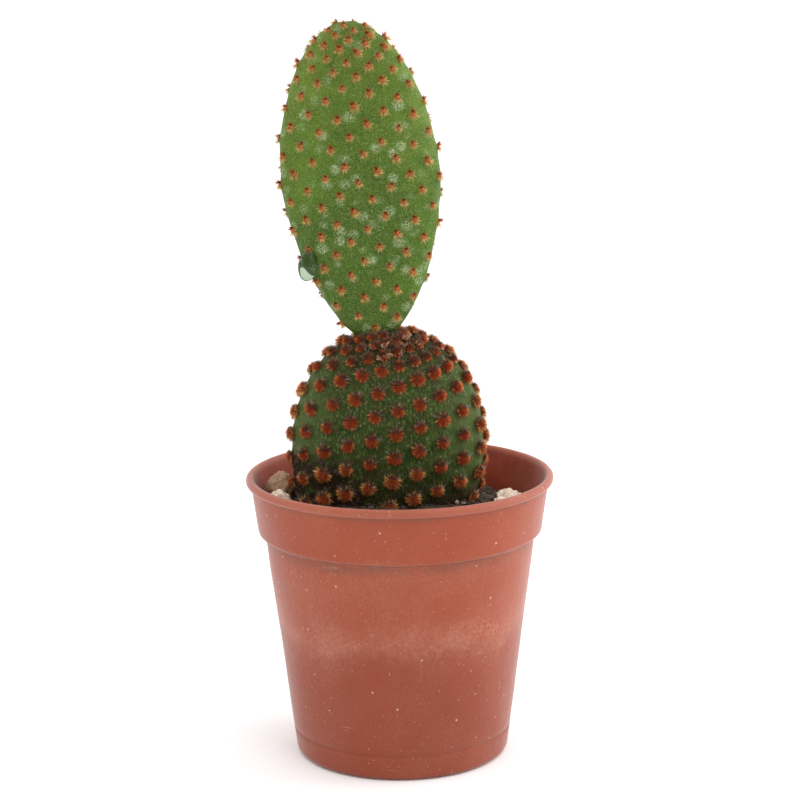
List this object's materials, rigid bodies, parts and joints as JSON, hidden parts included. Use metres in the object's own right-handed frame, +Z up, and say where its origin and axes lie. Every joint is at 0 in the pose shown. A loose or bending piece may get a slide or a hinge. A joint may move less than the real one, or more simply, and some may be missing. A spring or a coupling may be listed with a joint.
{
  "type": "potted paddle cactus",
  "caption": "Young paddle cactus with a slim upright pad on a thick domed pad, rooted in stony soil in a small tapered plastic nursery pot with a collared rim.",
  "frame": {"origin": "bottom centre of the pot, on the surface it stands on", "axes": "+Z up along the pot's axis; the plant's broad side faces -Y, so +X runs across the pads"},
  "size_m": [0.064, 0.064, 0.1524],
  "materials": {
    "pot_plastic": "matte",
    "soil": "matte",
    "root": "matte",
    "base_pad_skin": "matte",
    "upper_pad_skin": "satin",
    "pumice": "matte"
  },
  "bodies": {
    "root": {"pot": "pot_plastic", "soil": "soil", "roots": "root", "base_pad": "base_pad_skin", "upper_pad": "upper_pad_skin", "pumice_left": "pumice", "pumice_left_small": "pumice", "pumice_left_front": "pumice", "pumice_right": "pumice", "pumice_right_small": "pumice", "pumice_right_front": "pumice", "pumice_front": "pumice", "pumice_front_left": "pumice", "pumice_front_right": "pumice", "pumice_back": "pumice", "pumice_back_left": "pumice", "pumice_back_right": "pumice"}
  },
  "joints": []
}
